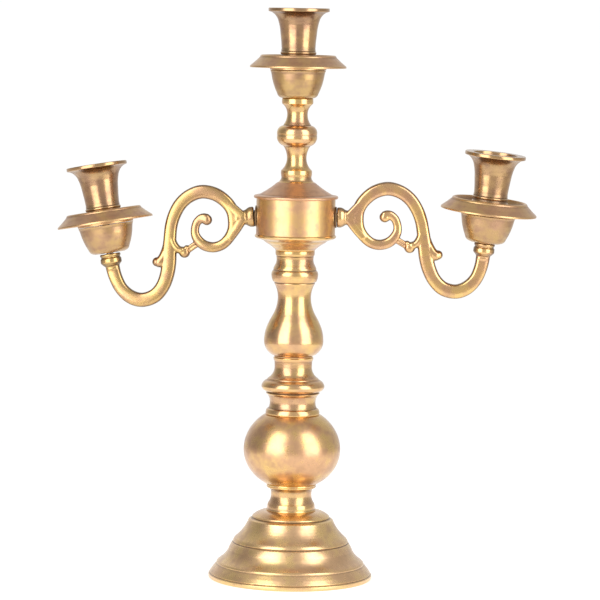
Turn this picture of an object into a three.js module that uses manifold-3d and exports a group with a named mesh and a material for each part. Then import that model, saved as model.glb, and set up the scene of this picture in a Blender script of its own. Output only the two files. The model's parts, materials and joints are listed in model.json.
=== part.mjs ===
// Tabletop candelabra with three lights: turned brass pieces stacked on a threaded rod, and two cast
// scroll arms bolted through the hub. Millimetres, +Z up. The origin is the centre of the foot's rim on
// the table, +X runs towards the right arm, and the front faces -Y.

import * as THREE from "three";
import { mergeVertices } from "three/addons/utils/BufferGeometryUtils.js";
import Module from "manifold-3d";

const wasm = await Module();
wasm.setup();

// ---- driving dimensions -------------------------------------------------------------------------

const DEG = Math.PI / 180;

// Levels of the column's joints above the table.
const FOOT_TOP = 47.9;
const COLLAR_TOP = 67.6;
const BALL_TOP = 115.6;
const SPOOL_TOP = 156.4;
const VASE_TOP = 231.5;
const SAUCER_TOP = 242.3;
const DRUM_TOP = 267.7;
const CAP_TOP = 278.9;
const STEM_TOP = 337.3;

// The rod that holds the column together, and its nuts.
const ROD_R = 4.0;
const ROD_HOLE_R = 4.4;
const ROD_BOTTOM = 31;
const ROD_TOP = 292;
const NUT_R = 7.5;

// Room round a rod, stud or screw in what it is threaded into.
const THREAD_GAP = 0.2;

// The hub drum, the arm studs and what seats on them.
const DRUM_R = 27.6;
const DRUM_BORE_R = 25.2;
const STUD_Z = 254.8;
const PIVOT_X = 25;
const STUD_R = 4.9;
const STUD_HOLE_R = 5.6;
const SPOT_FACE_X = 26.9;
const SPOT_FACE_R = 7.8;
const BOSS_X = 21.5;
const BOSS_R = 9;
const WASHER_R = 7.4;
const ARM_NUT_T = 6;
const ARM_NUT_STANDOFF = 1.2;
const STUD_TAIL = 1.3;
const STUD_TIP_R = 3;
const STUD_TIP_DEPTH = 10;

// How each arm stands: the direction in which its hole is drilled through the drum, where its flange is
// along the stud, from the hub's axis, its droop below level about the middle of the drum's wall, its turn
// about the stud from upright, the lean of its cup against the arm, and the thickness of its washer.
const ARMS = {
  right: { heading: 0, seat: 28.8, droop: 0, turn: 2, cupLean: 5.6, washer: 1.6 },
  left: { heading: 176, seat: 29.1, droop: 6.6, turn: 3, cupLean: 3.2, washer: 1.2 },
};

// A candle cup, measured from the bottom of its bowl.
const BOWL_H = 19.6;
const PAN_BOTTOM = 19.9;
const PAN_FLOOR = 27.2;
const SOCKET_BOTTOM = 27.5;
const SOCKET_TOP = 62.7;
const BORE_R = 10.9;
const CUP_SCREW_R = 2.5;
const CUP_HOLE_R = 2.8;
const CUP_SCREW_DEPTH = 8;
const CUP_GAP = 0.6;

// Smoothness.
const BIG_SIDES = 24;
const MID_SIDES = 16;
const SMALL_SIDES = 12;
const ARC_STEPS = 2;

// ---- materials ----------------------------------------------------------------------------------

const metal = (color, roughness) => new THREE.MeshStandardMaterial({ color, roughness, metalness: 1 });
const BRASS = metal(0xc49a5c, 0.3);
const COPPERY_BRASS = metal(0xb98663, 0.35);
const DARK_BRASS = metal(0x4a3624, 0.5);
const STEEL = metal(0x8d8f92, 0.45);

// ---- helpers ------------------------------------------------------------------------------------

// Points along a circular arc from one point to another, without the first. The bow is the arc's height
// over its chord, positive to the right of the direction of travel.
function arcPoints([r0, z0], [r1, z1], bow, steps = ARC_STEPS) {
  if (!bow) return [[r1, z1]];
  const chord = Math.hypot(r1 - r0, z1 - z0);
  const radius = (chord * chord) / (8 * Math.abs(bow)) + Math.abs(bow) / 2;
  const side = Math.sign(bow);
  const nr = (side * (z1 - z0)) / chord;
  const nz = (side * (r0 - r1)) / chord;
  const cr = (r0 + r1) / 2 - nr * (radius - Math.abs(bow));
  const cz = (z0 + z1) / 2 - nz * (radius - Math.abs(bow));
  const start = Math.atan2(z0 - cz, r0 - cr);
  let sweep = Math.atan2(z1 - cz, r1 - cr) - start;
  if (side > 0 && sweep < 0) sweep += 2 * Math.PI;
  if (side < 0 && sweep > 0) sweep -= 2 * Math.PI;
  return Array.from({ length: steps }, (_, i) => {
    const a = start + (sweep * (i + 1)) / steps;
    return [cr + radius * Math.cos(a), cz + radius * Math.sin(a)];
  });
}

// An outline of [radius, height] points, or [radius, height, bow] where the stretch that ends there is
// an arc.
function outline(points) {
  const out = [points[0].slice(0, 2)];
  for (const [r, z, bow] of points.slice(1)) out.push(...arcPoints(out.at(-1), [r, z], bow));
  return out;
}

// A turned piece: the outline runs up the outside, and back down the inside to where it began.
function turned(points, sides) {
  const closed = [...outline(points), points[0].slice(0, 2)];
  const profile = closed.map(([r, z]) => new THREE.Vector2(r, z));
  return new THREE.LatheGeometry(profile, sides).rotateX(Math.PI / 2);
}

// A solid turned piece without a hole, whose outline starts and ends on the axis.
function turnedSolid(points, sides) {
  const profile = outline(points).map(([r, z]) => new THREE.Vector2(r, z));
  return new THREE.LatheGeometry(profile, sides).rotateX(Math.PI / 2);
}

function solidOf(geometry) {
  const bare = geometry.clone();
  bare.deleteAttribute("normal");
  bare.deleteAttribute("uv");
  const merged = mergeVertices(bare, 1e-4);
  const mesh = new wasm.Mesh({
    numProp: 3,
    vertProperties: new Float32Array(merged.attributes.position.array),
    triVerts: new Uint32Array(merged.index.array),
  });
  return new wasm.Manifold(mesh);
}

function geometryOf(solid) {
  const mesh = solid.getMesh();
  const geometry = new THREE.BufferGeometry();
  geometry.setAttribute("position", new THREE.BufferAttribute(mesh.vertProperties, 3));
  geometry.setIndex(new THREE.BufferAttribute(mesh.triVerts, 1));
  geometry.computeVertexNormals();
  return geometry;
}

// A cylinder along Z, from one height to another.
function rod(radius, bottom, top, sides = SMALL_SIDES) {
  const geometry = new THREE.CylinderGeometry(radius, radius, top - bottom, sides);
  return geometry.rotateX(Math.PI / 2).translate(0, 0, (bottom + top) / 2);
}

// The same cylinder laid along X.
const rodAlongX = (radius, from, to, sides) => rod(radius, from, to, sides).rotateY(Math.PI / 2);

function cut(geometry, ...tools) {
  return geometryOf(tools.reduce((solid, tool) => solid.subtract(solidOf(tool)), solidOf(geometry)));
}

function join(geometry, ...others) {
  return geometryOf(others.reduce((solid, other) => solid.add(solidOf(other)), solidOf(geometry)));
}

// A ring with a hexagonal or round outside, along Z.
function ring(outerR, innerR, bottom, top, sides) {
  return cut(rod(outerR, bottom, top, sides), rod(innerR, bottom - 1, top + 1));
}

function piece(name, geometry, material) {
  const mesh = new THREE.Mesh(geometry, material);
  mesh.name = name;
  return mesh;
}

// ---- the column ---------------------------------------------------------------------------------

// Stepped bell, hollow underneath, with a deck that the rod passes through.
function footBell() {
  const deck = FOOT_TOP - 4;
  return turned(
    [
      [54.6, 0],
      [56.8, 0],
      [57.3, 1.4, 0.3],
      [56.7, 3.4],
      [52.2, 9.2, 0.5],
      [51.3, 10.2],
      [50.6, 12.6, 0.3],
      [49.0, 13.2],
      [43.4, 19.4, -0.6],
      [41.0, 24.4, 0.3],
      [40.2, 25.4],
      [39.5, 28.8, 0.5],
      [38.0, 29.6],
      [28.6, 40.6, 1.0],
      [26.9, 41.4],
      [26.8, 43.2, 0.5],
      [17.6, FOOT_TOP, 0.5],
      [ROD_HOLE_R, FOOT_TOP],
      [ROD_HOLE_R, deck],
      [14.5, deck],
      [25.5, 38.2, 0.8],
      [36.4, 27.2, 0.6],
      [46.5, 12.8],
    ],
    BIG_SIDES
  );
}

const footWasher = () => ring(14, ROD_HOLE_R, FOOT_TOP - 6, FOOT_TOP - 4, SMALL_SIDES);
const footNut = () => ring(NUT_R, ROD_R + THREAD_GAP, FOOT_TOP - 12.5, FOOT_TOP - 6, 6);
const tieRod = () => rod(ROD_R, ROD_BOTTOM, ROD_TOP);

// Short neck with a ring on top.
function footCollar() {
  return turned(
    [
      [ROD_HOLE_R, FOOT_TOP],
      [17.4, FOOT_TOP],
      [16.8, 50],
      [14.3, 59, -0.7],
      [14.7, 61.8],
      [16.9, 63.4],
      [17.2, 66.9, 0.5],
      [16.6, COLLAR_TOP],
      [ROD_HOLE_R, COLLAR_TOP],
    ],
    BIG_SIDES
  );
}

// Flattened ball, hollow, open round the rod at both poles.
function ballKnop() {
  const radius = 34;
  const middle = 90.9;
  const above = 30.4;
  const below = 28.2;
  const wall = 2.6;
  const steps = 4;
  const shell = (inset, bottom, top) => {
    const lowest = Math.asin((bottom - middle) / (below - inset));
    const highest = Math.asin((top - middle) / (above - inset));
    return Array.from({ length: 2 * steps + 1 }, (_, i) => {
      const half = i < steps ? below : above;
      const a = i < steps ? lowest * (1 - i / steps) : highest * (i / steps - 1);
      return [(radius - inset) * Math.cos(a), middle + (half - inset) * Math.sin(a)];
    });
  };
  const outside = shell(0, COLLAR_TOP, BALL_TOP);
  const inside = shell(wall, COLLAR_TOP + wall, BALL_TOP - wall).reverse();
  return turned(
    [
      [ROD_HOLE_R, COLLAR_TOP],
      ...outside,
      [ROD_HOLE_R, BALL_TOP],
      [ROD_HOLE_R, BALL_TOP - wall],
      ...inside,
      [ROD_HOLE_R, COLLAR_TOP + wall],
    ],
    BIG_SIDES
  );
}

// Neck, large ring and concave spool.
function stemSpool() {
  return turned(
    [
      [ROD_HOLE_R, BALL_TOP],
      [18.7, BALL_TOP],
      [18.1, 119.9, 0.2],
      [16.9, 120.4],
      [16.0, 125, -0.3],
      [18.8, 131.2, -0.6],
      [18.5, 131.9],
      [22.0, 136.2, 1.1],
      [18.4, 140.8, 0.9],
      [13.0, 150.6, -1.5],
      [14.1, SPOOL_TOP, -0.3],
      [ROD_HOLE_R, SPOOL_TOP],
    ],
    BIG_SIDES
  );
}

// Pear-shaped baluster, with a double ring and a banded neck above it.
function stemVase() {
  return turned(
    [
      [ROD_HOLE_R, SPOOL_TOP],
      [13.7, SPOOL_TOP],
      [14.9, 158.0],
      [20.8, 168.0, 1.7],
      [17.3, 182.0, 0.9],
      [11.6, 197.5, -0.9],
      [14.2, 208.4, -0.9],
      [15.1, 209.6],
      [15.4, 217.0, 0.9],
      [14.2, 220.6],
      [12.9, 227.0, -0.5],
      [13.8, VASE_TOP],
      [ROD_HOLE_R, VASE_TOP],
    ],
    BIG_SIDES
  );
}

// Saucer with a hollow top and a spigot inside the drum.
function hubBase() {
  const spigotR = DRUM_BORE_R - 0.1;
  const floor = VASE_TOP + 4;
  return turned(
    [
      [ROD_HOLE_R, VASE_TOP],
      [13.9, VASE_TOP],
      [18.2, 235.4],
      [22.3, 238.2, 0.3],
      [26.6, 239.7],
      [28.4, 240.7],
      [28.4, 241.8],
      [27.9, SAUCER_TOP],
      [spigotR, SAUCER_TOP],
      [spigotR, SAUCER_TOP + 2],
      [23.0, SAUCER_TOP + 2],
      [13.5, floor],
      [ROD_HOLE_R, floor],
    ],
    BIG_SIDES
  );
}

const hubNut = () => ring(NUT_R, ROD_R + THREAD_GAP, VASE_TOP + 4, VASE_TOP + 10, 6);

// Drum with a boss inside each side wall, and a spot-faced hole through each boss.
function hubDrum() {
  const shell = turned(
    [
      [DRUM_BORE_R, SAUCER_TOP],
      [DRUM_R, SAUCER_TOP],
      [DRUM_R, DRUM_TOP],
      [DRUM_BORE_R, DRUM_TOP],
    ],
    BIG_SIDES
  );
  const alongX = (radius, from, to) => rodAlongX(radius, from, to).translate(0, 0, STUD_Z);
  const headings = Object.values(ARMS).map((arm) => arm.heading * DEG);
  const atEachArm = (geometry) => headings.map((heading) => geometry.clone().rotateZ(heading));
  const bosses = atEachArm(alongX(BOSS_R, BOSS_X, (DRUM_BORE_R + DRUM_R) / 2));
  const spotFaces = atEachArm(alongX(SPOT_FACE_R, SPOT_FACE_X, DRUM_R + 1));
  const holes = atEachArm(alongX(STUD_HOLE_R, 0, DRUM_R + 1));
  return cut(join(shell, ...bosses), ...holes, ...spotFaces);
}

// Domed lid: flange on the drum, spigot inside it, hollow dome.
function hubCap() {
  const spigotR = DRUM_BORE_R - 0.1;
  return turned(
    [
      [23.2, DRUM_TOP - 2],
      [spigotR, DRUM_TOP - 2],
      [spigotR, DRUM_TOP],
      [28.4, DRUM_TOP],
      [29.4, 268.8],
      [28.9, 269.7],
      [25.2, 270.5],
      [24.8, 271.2],
      [13.4, 278.5, 0.9],
      [12.9, CAP_TOP],
      [ROD_HOLE_R, CAP_TOP],
      [ROD_HOLE_R, CAP_TOP - 3],
      [12.4, CAP_TOP - 3.4],
      [22.2, 269.2, -0.7],
    ],
    BIG_SIDES
  );
}

// Small baluster with a ball, bored blind from below for the rod's end and from above for a screw.
function upperStem() {
  const rodEnd = ROD_TOP + 1;
  const screwEnd = STEM_TOP - CUP_SCREW_DEPTH - 1;
  return turnedSolid(
    [
      [0, rodEnd],
      [ROD_R + THREAD_GAP, rodEnd],
      [ROD_R + THREAD_GAP, CAP_TOP],
      [12.7, CAP_TOP],
      [10.5, 282, -0.3],
      [10.8, 287.4],
      [9.2, 289.4],
      [6.8, 295.3, -0.5],
      [9.3, 304.2, -0.5],
      [13.8, 311.4, 1.5],
      [10.2, 318.6, 1.5],
      [9.2, 319.6],
      [7.2, 325.5, -0.5],
      [10.1, 333.2, -0.9],
      [10.9, 333.8],
      [10.9, 336.9],
      [10.6, STEM_TOP],
      [CUP_SCREW_R + THREAD_GAP, STEM_TOP],
      [CUP_SCREW_R + THREAD_GAP, screwEnd],
      [0, screwEnd],
    ],
    MID_SIDES
  );
}

// ---- a candle cup, built from the bottom of its bowl up ------------------------------------------

function bowl() {
  return turned(
    [
      [CUP_HOLE_R, 0],
      [10.8, 0],
      [14.3, 3.2, 0.9],
      [18.6, 17.0, 0.5],
      [19.4, BOWL_H],
      [17.4, BOWL_H],
      [12.8, 4.0, -0.5],
      [CUP_HOLE_R, 2.6],
    ],
    MID_SIDES
  );
}

// Sloping skirt below a raised ridge, a sunk floor, and a ring underneath that sits on the bowl.
function dripPan() {
  return turned(
    [
      [CUP_HOLE_R, 25.4],
      [17.9, 25.4],
      [17.9, PAN_BOTTOM],
      [19.7, PAN_BOTTOM],
      [19.7, 24.8],
      [25.0, 27.0],
      [32.8, 21.4],
      [33.7, 22.1],
      [26.4, 28.8],
      [25.3, 30.2, 0.3],
      [24.3, 29.6],
      [22.8, PAN_FLOOR],
      [CUP_HOLE_R, PAN_FLOOR],
    ],
    MID_SIDES
  );
}

// Flared tube with a wide lip, a foot flange and a blind bore for the candle.
function candleSocket() {
  const floor = SOCKET_BOTTOM + 4;
  return turned(
    [
      [CUP_HOLE_R, SOCKET_BOTTOM],
      [13.0, SOCKET_BOTTOM],
      [12.2, 32.0],
      [11.8, 34.8],
      [12.7, 44.8, -0.1],
      [16.8, 58.2, -1.3],
      [20.9, 60.0],
      [21.2, 62.2],
      [20.7, SOCKET_TOP],
      [15.4, SOCKET_TOP - 0.3],
      [BORE_R, 54.5, -0.9],
      [BORE_R, floor],
      [CUP_HOLE_R, floor],
    ],
    MID_SIDES
  );
}

// Cheese-head screw that clamps socket, pan and bowl on what carries them.
function cupScrew() {
  const seat = SOCKET_BOTTOM + 4;
  const shank = rod(CUP_SCREW_R, -CUP_SCREW_DEPTH, seat + 1);
  return join(shank, rod(5, seat, seat + 3));
}

function candleCup(prefix) {
  const group = new THREE.Group();
  group.add(piece(`${prefix}_bowl`, bowl(), BRASS));
  group.add(piece(`${prefix}_drip_pan`, dripPan(), COPPERY_BRASS));
  group.add(piece(`${prefix}_candle_socket`, candleSocket(), COPPERY_BRASS));
  group.add(piece(`${prefix}_cup_screw`, cupScrew(), STEEL));
  return group;
}

// ---- an arm, along +X from its flange face ------------------------------------------------------

// The scroll's centre line from the eye of the spiral round to the end collar: [x, z, half width].
const SCROLL = [
  [33.2, 1.0, 3.7],
  [35.5, 2.0, 3.4],
  [38.2, 1.6, 2.9],
  [41.0, -1.2, 2.7],
  [42.5, -6.5, 2.7],
  [41.5, -11.4, 3.1],
  [37.4, -16.4, 3.4],
  [31.0, -18.7, 3.4],
  [24.6, -17.6, 3.4],
  [19.3, -13.5, 3.5],
  [15.7, -7.9, 3.8],
  [14.2, -1.3, 4.3],
  [15.0, 5.4, 4.2],
  [18.6, 11.9, 4.3],
  [25.7, 18.0, 4.5],
  [34.9, 20.7, 4.6],
  [43.6, 18.7, 4.5],
  [50.6, 13.8, 4.4],
  [55.5, 6.9, 4.3],
  [58.7, -0.9, 4.2],
  [60.5, -10.0, 4.3],
  [61.8, -19.1, 4.8],
  [63.0, -27.5, 4.9],
  [65.3, -35.7, 4.8],
  [69.2, -43.2, 4.7],
  [75.4, -48.9, 4.8],
  [84.0, -50.8, 4.8],
  [91.8, -48.0, 4.7],
  [97.9, -41.6, 4.4],
  [101.4, -32.8, 4.5],
  [102.8, -24.4, 4.7],
];
const SCROLL_STEPS = 46;
const SCROLL_FLATNESS = 0.86;
const BAR_SIDES = 8;

// Strands of the casting: the web that spreads from the neck to the scroll and its filled fork, the pair
// of bars that ties the spiral to the bud, and the leaf curl that peels off the scroll.
const UPPER_WEB = [[8, 0.4, 3.2], [14.6, 7.9, 2.7], [21.3, 16, 2.6]];
const LOWER_WEB = [[8, -0.4, 3.2], [13.4, -8, 2.7], [18.8, -14.2, 2.6]];
const FORK = [[8, 0, 4.4], [11, 0, 4.8], [14, 0, 5]];
const TIE_BARS = [[41.4, -15, 2], [44.8, -16.8, 2], [48.8, -19, 2]];
const LEAF_CURL = [[63, -14, 2.2], [65.4, -20, 3], [68.6, -24.4, 3.4], [71, -25.2, 3.2]];

// The middle of the end collar's top face.
const ARM_END = new THREE.Vector3(103.6, 0, -16.4);

// A bar along a centre line in the XZ plane: a straight bar is extruded once, then every vertex is
// carried to its place along the line. Its section is a chamfered square, so that its sides reach the
// line's half width.
function sweptBar(points, steps, flatness) {
  const line = new THREE.CatmullRomCurve3(points.map(([x, z, w]) => new THREE.Vector3(x, w, z)));
  const reach = 1 / Math.cos(Math.PI / BAR_SIDES);
  const corners = Array.from({ length: BAR_SIDES }, (_, i) => {
    const a = ((i + 0.5) * 2 * Math.PI) / BAR_SIDES;
    return new THREE.Vector2(reach * Math.cos(a), reach * Math.sin(a));
  });
  const section = new THREE.Shape(corners);
  const bar = new THREE.ExtrudeGeometry(section, { steps, depth: 1, bevelEnabled: false });
  const position = bar.attributes.position;
  for (let i = 0; i < position.count; i++) {
    const along = THREE.MathUtils.clamp(position.getZ(i), 0, 1);
    const centre = line.getPointAt(along);
    const tangent = line.getTangentAt(along);
    const slope = Math.hypot(tangent.x, tangent.z);
    const across = position.getX(i) * centre.y;
    const depth = position.getY(i) * centre.y * flatness;
    const x = centre.x + (across * tangent.z) / slope;
    const z = centre.z - (across * tangent.x) / slope;
    position.setXYZ(i, x, depth, z);
  }
  return bar;
}

// An egg-shaped lump of the casting.
function lump(x, z, rx, ry, rz) {
  return new THREE.SphereGeometry(1, 8, 4).scale(rx, ry, rz).translate(x, 0, z);
}

// Round flange and neck at the stud, turned about X.
function armNeck() {
  const profile = [
    [0, 0],
    [7.1, 0],
    [7.1, 2.8],
    [5.0, 7.2, -0.3],
    [5.0, 12.5],
    [0, 12.5],
  ];
  return turnedSolid(profile, SMALL_SIDES).rotateY(Math.PI / 2);
}

// Beaded collar that carries the bowl, its top square to the cup's axis.
function endCollar(lean) {
  const collar = turnedSolid(
    [
      [0, -9.2],
      [5.4, -8.2],
      [7.3, -4.6, 0.9],
      [7.0, -1.6],
      [7.2, 0],
      [0, 0],
    ],
    SMALL_SIDES
  );
  return collar.rotateY(lean * DEG).translate(ARM_END.x, 0, ARM_END.z);
}

function armCasting(lean) {
  const scroll = sweptBar(SCROLL, SCROLL_STEPS, SCROLL_FLATNESS);
  const eye = lump(33.4, 0.8, 3.8, 3.2, 3.8);
  const upperWeb = sweptBar(UPPER_WEB, 3, 1.1);
  const lowerWeb = sweptBar(LOWER_WEB, 3, 1.1);
  const fork = sweptBar(FORK, 2, 0.7);
  const tieBars = sweptBar(TIE_BARS, 3, 0.7);
  const bud = lump(51.2, -20.4, 3.9, 3.5, 4.0);
  const budShoulder = lump(55.4, -18.6, 3.6, 3.4, 3.6);
  const leafCurl = sweptBar(LEAF_CURL, 4, 1);
  const curlTip = lump(71.2, -25.2, 3.3, 3.1, 3.3);
  const whole = join(
    scroll,
    eye,
    upperWeb,
    lowerWeb,
    fork,
    tieBars,
    bud,
    budShoulder,
    leafCurl,
    curlTip,
    armNeck(),
    endCollar(lean)
  );
  const screwHole = rod(CUP_SCREW_R + THREAD_GAP, -CUP_SCREW_DEPTH - 1, 1).rotateY(lean * DEG);
  const studHole = rodAlongX(STUD_TIP_R + 0.3, -1, STUD_TIP_DEPTH + 1);
  return cut(whole, studHole, screwHole.translate(ARM_END.x, 0, ARM_END.z));
}

// Threaded stud, stepped down where it is held in the arm, reaching in through the drum's wall.
function armStud(seat) {
  const innerEnd = BOSS_X - ARM_NUT_STANDOFF - ARM_NUT_T - STUD_TAIL - seat;
  return join(rodAlongX(STUD_R, innerEnd, -0.3), rodAlongX(STUD_TIP_R, -1, STUD_TIP_DEPTH));
}

function armNut(seat) {
  const face = BOSS_X - ARM_NUT_STANDOFF - seat;
  return ring(9, STUD_R + THREAD_GAP, face - ARM_NUT_T, face, 6).rotateY(Math.PI / 2);
}

// The joint group's own X axis lies along the stud, so turning the group about it turns the arm.
function arm(side) {
  const { heading, seat, droop, turn, cupLean } = ARMS[side];
  const joint = new THREE.Group();
  joint.rotation.order = "ZYX";
  joint.position.set(Math.cos(heading * DEG) * PIVOT_X, Math.sin(heading * DEG) * PIVOT_X, STUD_Z);
  joint.rotation.z = heading * DEG;
  joint.rotation.y = droop * DEG;
  joint.rotation.x = turn * DEG;

  const fromFlange = new THREE.Group();
  fromFlange.position.x = seat - PIVOT_X;
  fromFlange.add(piece(`${side}_arm`, armCasting(cupLean), BRASS));
  fromFlange.add(piece(`${side}_arm_stud`, armStud(seat), DARK_BRASS));
  fromFlange.add(piece(`${side}_arm_nut`, armNut(seat), STEEL));
  joint.add(fromFlange);

  const cup = candleCup(side);
  const up = new THREE.Vector3(Math.sin(cupLean * DEG), 0, Math.cos(cupLean * DEG));
  cup.rotation.y = cupLean * DEG;
  cup.position.copy(ARM_END).addScaledVector(up, CUP_GAP);
  fromFlange.add(cup);
  return joint;
}

function armWasher(side) {
  const { heading, washer: thickness } = ARMS[side];
  const bottom = SPOT_FACE_X + 0.1;
  const washer = ring(WASHER_R, STUD_HOLE_R, bottom, bottom + thickness, SMALL_SIDES);
  washer.rotateY(Math.PI / 2).rotateZ(heading * DEG).translate(0, 0, STUD_Z);
  return piece(`${side}_arm_washer`, washer, DARK_BRASS);
}

// ---- the whole candelabra -----------------------------------------------------------------------

const candelabra = new THREE.Group();
candelabra.add(
  piece("foot_bell", footBell(), BRASS),
  piece("foot_washer", footWasher(), STEEL),
  piece("foot_nut", footNut(), STEEL),
  piece("tie_rod", tieRod(), STEEL),
  piece("foot_collar", footCollar(), BRASS),
  piece("ball_knop", ballKnop(), BRASS),
  piece("stem_spool", stemSpool(), BRASS),
  piece("stem_vase", stemVase(), BRASS),
  piece("hub_base", hubBase(), BRASS),
  piece("hub_nut", hubNut(), STEEL),
  piece("hub_drum", hubDrum(), BRASS),
  piece("hub_cap", hubCap(), COPPERY_BRASS),
  piece("upper_stem", upperStem(), BRASS)
);
for (const side of Object.keys(ARMS)) candelabra.add(arm(side), armWasher(side));

const topCup = candleCup("top");
topCup.position.z = STEM_TOP;
candelabra.add(topCup);

export default candelabra;
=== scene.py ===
"""Tabletop brass candelabra with three lights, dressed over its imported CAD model.

Every piece is modelled in millimetres and written to its mesh in metres, in the row frame: +Z up, +X
towards the right arm, the front facing -Y. An outline is a list of (radius, height) points, or (radius,
height, bow) where the stretch that ends there is an arc. The bow is the arc's height over its chord,
positive to the right of the direction of travel. Outlines run up the outside and down the inside.
"""

import json
import math

import bmesh
import bpy
import numpy as np
from mathutils import Matrix, Vector


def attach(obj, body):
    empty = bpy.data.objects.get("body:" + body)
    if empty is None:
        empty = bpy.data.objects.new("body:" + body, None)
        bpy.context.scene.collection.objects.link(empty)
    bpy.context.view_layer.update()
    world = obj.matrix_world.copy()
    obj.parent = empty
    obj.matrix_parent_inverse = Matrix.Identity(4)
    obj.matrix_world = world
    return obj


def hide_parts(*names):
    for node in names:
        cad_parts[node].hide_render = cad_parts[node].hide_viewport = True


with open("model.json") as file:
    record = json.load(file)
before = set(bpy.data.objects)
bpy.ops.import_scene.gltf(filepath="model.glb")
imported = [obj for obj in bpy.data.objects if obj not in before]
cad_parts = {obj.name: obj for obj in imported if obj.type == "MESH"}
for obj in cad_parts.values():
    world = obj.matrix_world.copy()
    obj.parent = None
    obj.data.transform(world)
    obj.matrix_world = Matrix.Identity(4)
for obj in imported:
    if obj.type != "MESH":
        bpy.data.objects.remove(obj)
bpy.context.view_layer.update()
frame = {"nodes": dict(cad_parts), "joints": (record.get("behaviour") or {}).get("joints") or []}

MM = 0.001

# ---- driving dimensions, the same as the CAD model's ----------------------------------------------

FOOT_TOP = 47.9
COLLAR_TOP = 67.6
BALL_TOP = 115.6
SPOOL_TOP = 156.4
VASE_TOP = 231.5
SAUCER_TOP = 242.3
DRUM_TOP = 267.7
CAP_TOP = 278.9
STEM_TOP = 337.3

ROD_R = 4.0
ROD_HOLE_R = 4.4
ROD_BOTTOM = 31.0
ROD_TOP = 292.0

DRUM_R = 27.6
DRUM_BORE_R = 25.2
STUD_Z = 254.8
PIVOT_X = 25.0
STUD_R = 4.9
STUD_HOLE_R = 5.6
SPOT_FACE_X = 26.9
SPOT_FACE_R = 7.8
BOSS_X = 21.5
BOSS_R = 9.0
WASHER_R = 7.4

# How each arm stands: the heading of its hole in the drum, its flange face along the stud, its turn about
# the stud, the lean of its cup against the arm, and its washer's thickness. The stud's own direction is its
# joint's axis.
ARMS = {
    "right": {"heading": 0, "seat": 28.8, "turn": 2.0, "cup_lean": 5.6, "washer": 1.6},
    "left": {"heading": 176, "seat": 29.1, "turn": 3.0, "cup_lean": 3.2, "washer": 1.2},
}

BORE_R = 10.9
CUP_SCREW_R = 2.5
CUP_HOLE_R = 2.8
CUP_SCREW_DEPTH = 8.0
CUP_HEAD_R = 5
CUP_HEAD_HEIGHT = 3
CUP_SLOT = (12, 1.2, 2.4)
CUP_GAP = 0.6
SCREW_SEAT = 31.5

DECK_BOTTOM = FOOT_TOP - 4
FOOT_WASHER_R = 14
FOOT_WASHER_BOTTOM = DECK_BOTTOM - 2
FOOT_NUT_CORNER_R = 7.5
FOOT_NUT_BOTTOM = FOOT_TOP - 12.5
SPIGOT_R = DRUM_BORE_R - 0.1

THREAD_PITCH = 1.0
THREAD_DEPTH = 0.6
THREAD_GAP = 0.2
# How steep the thread's flanks are, and how much of its crest is flat, with half a turn as 1.
FLANK_SLOPE = 1.25
CREST = 0.12
# How far inside its flats a nut's chamfer starts, its slope, and the heights at which it is drawn.
CHAMFER_INSET = 0.3
CHAMFER_SLOPE = 2.2
CHAMFER_LEVELS = (0, 0.4, 0.8)

# ---- smoothness: lengths in millimetres -----------------------------------------------------------

COLUMN_SIDES = 144
CUP_SIDES = 120
SMALL_SIDES = 64
NUT_SIDES = 96
THREAD_STEPS = 8
ARC_STEP = math.radians(5)
# From which turn on a corner is rounded, its radius, and how much of the stretches beside it this may take.
SHARP_CORNER = math.radians(12)
EDGE_RADIUS = 0.22
CORNER_SHARE = 0.45
# The points added near both ends of a stretch that is long enough for them.
NEAR_ENDS = (0.5, 1.3)
ROOM_FOR_ENDS = 2.2
# How far wear, and the grime with painted shade, reach from a corner, and the turns, in radians, that show
# them fully.
CORNER_REACH = 0.8
FULL_WEAR = 1.2
FULL_GRIME_AND_SHADE = 0.9
SHADE_SHARP = math.radians(38)
# The grid on which an arm's casting is fused, and how often it is smoothed after.
VOXEL = 0.42
FILLET_PASSES = 6
# Vertices closer than this are one.
WELD = 0.001
# The hair-thin hole on the axis of a threaded piece, whose mesh is a ring.
AXIS_HOLE_R = 0.3


# ---- outlines -------------------------------------------------------------------------------------


def arc_points(start, end, bow):
    """The points after start of the arc from start to end, or end alone where it is straight."""
    (r0, z0), (r1, z1) = start, end
    if not bow:
        return [end]
    chord = math.hypot(r1 - r0, z1 - z0)
    radius = chord * chord / (8 * abs(bow)) + abs(bow) / 2
    side = math.copysign(1, bow)
    normal = (side * (z1 - z0) / chord, side * (r0 - r1) / chord)
    inward = radius - abs(bow)
    centre = ((r0 + r1) / 2 - normal[0] * inward, (z0 + z1) / 2 - normal[1] * inward)
    first = math.atan2(z0 - centre[1], r0 - centre[0])
    sweep = math.atan2(z1 - centre[1], r1 - centre[0]) - first
    if side > 0 and sweep < 0:
        sweep += 2 * math.pi
    if side < 0 and sweep > 0:
        sweep -= 2 * math.pi
    steps = max(2, math.ceil(abs(sweep) / ARC_STEP))
    angles = [first + sweep * (i + 1) / steps for i in range(steps)]
    return [(centre[0] + radius * math.cos(a), centre[1] + radius * math.sin(a)) for a in angles]


def outline(points):
    """The outline's points with its arcs drawn out."""
    drawn = [tuple(points[0][:2])]
    for r, z, *bow in points[1:]:
        drawn += arc_points(drawn[-1], (r, z), bow[0] if bow else 0)
    return drawn


def turn_at(before, here, after):
    """How much the outline turns at a point: positive where the metal is convex."""
    a = math.atan2(here[1] - before[1], here[0] - before[0])
    b = math.atan2(after[1] - here[1], after[0] - here[0])
    return (b - a + math.pi) % (2 * math.pi) - math.pi


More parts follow.
